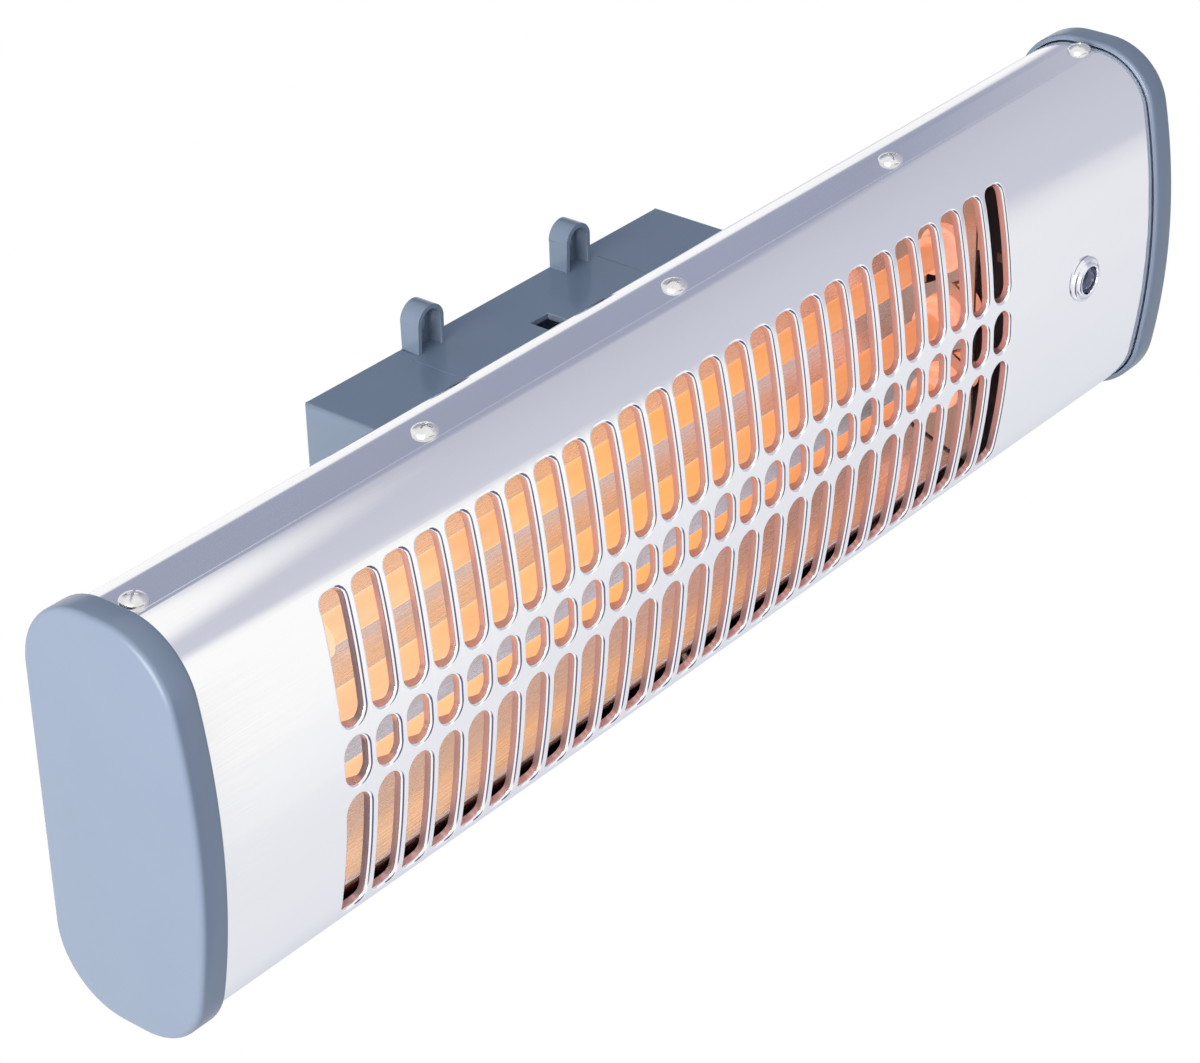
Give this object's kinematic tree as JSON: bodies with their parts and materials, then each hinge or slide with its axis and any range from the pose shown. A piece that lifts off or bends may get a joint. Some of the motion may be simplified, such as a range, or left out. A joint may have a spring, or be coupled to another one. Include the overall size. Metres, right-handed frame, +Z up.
{
  "type": "electric bar heater",
  "caption": "Wall-mounted electric bar heater: quartz tubes in a polished trough behind a flanged slotted steel front, moulded end caps, and a tilting mount on a wall box.",
  "frame": {"origin": "on the wall plane, half-way along and half-way up the heater body", "axes": "+X along the heater, to the right seen from the front; +Y into the wall; +Z up"},
  "size_m": [0.45, 0.0992, 0.1224],
  "materials": {
    "shell_steel": "bright rolled stainless steel",
    "cover_steel": "bright rolled stainless steel",
    "cap_plastic": "blue-grey moulded plastic, satin",
    "box_plastic": "blue-grey moulded plastic, satin",
    "screw_metal": "bright zinc plate",
    "reflector_metal": "polished",
    "holder_steel": "zinc plated sheet",
    "quartz": "milky quartz, glowing",
    "coil_wire": "glowing resistance wire",
    "ceramic": "matt white steatite",
    "bezel_chrome": "bright chrome on plastic",
    "lens_clear": "clear, unlit",
    "insulator_white": "white moulded plastic",
    "insulator_black": "black moulded plastic",
    "grommet_rubber": "matt",
    "lead_red": "silicone sleeve",
    "lead_blue": "silicone sleeve",
    "terminal_brass": "plain"
  },
  "bodies": {
    "wall_box": {"wall_bracket": "box_plastic", "terminal_box": "box_plastic", "switch_box": "box_plastic", "box_screws": "screw_metal", "pivot_screws": "screw_metal", "friction_washers": "insulator_black", "terminal_block": "insulator_white", "terminal_screws": "terminal_brass", "box_leads": "lead_red", "cable_gland": "insulator_black", "gland_nut": "insulator_black", "pull_switch_body": "insulator_white", "switch_screws": "screw_metal", "pull_cord_bush": "insulator_white"},
    "heater": {"back_shell": "shell_steel", "front_cover": "cover_steel", "end_cap_left": "cap_plastic", "end_cap_right": "cap_plastic", "cover_screws_top": "screw_metal", "cover_screws_bottom": "screw_metal", "reflector": "reflector_metal", "shell_rivets": "screw_metal", "element_holder_left": "holder_steel", "element_holder_right": "holder_steel", "holder_rivets": "screw_metal", "quartz_tube_top": "quartz", "quartz_tube_middle": "quartz", "quartz_tube_bottom": "quartz", "heating_coil_top": "coil_wire", "heating_coil_middle": "coil_wire", "heating_coil_bottom": "coil_wire", "ceramic_ends_left": "ceramic", "ceramic_ends_right": "ceramic", "terminal_studs_left": "screw_metal", "terminal_studs_right": "screw_metal", "common_link": "holder_steel", "live_leads": "lead_red", "neutral_lead": "lead_blue", "lead_grommet": "grommet_rubber", "pilot_bezel": "bezel_chrome", "pilot_lens": "lens_clear", "pilot_lamp": "insulator_white", "pilot_nut": "insulator_black", "hinge_arms": "holder_steel", "arm_rivets": "screw_metal"},
    "pull_lug": {"pull_switch_lug": "insulator_white"}
  },
  "joints": [
    {"name": "tilt", "type": "hinge", "parent": "wall_box", "child": "heater", "pos_m": [0, -0.037, -0.0185], "axis": [1, 0, 0], "range_deg": [0, 35]},
    {"name": "pull", "type": "slide", "parent": "wall_box", "child": "pull_lug", "axis": [0, 0, -1], "range_m": [0, 0.006], "stiffness_N_per_m": 600}
  ]
}
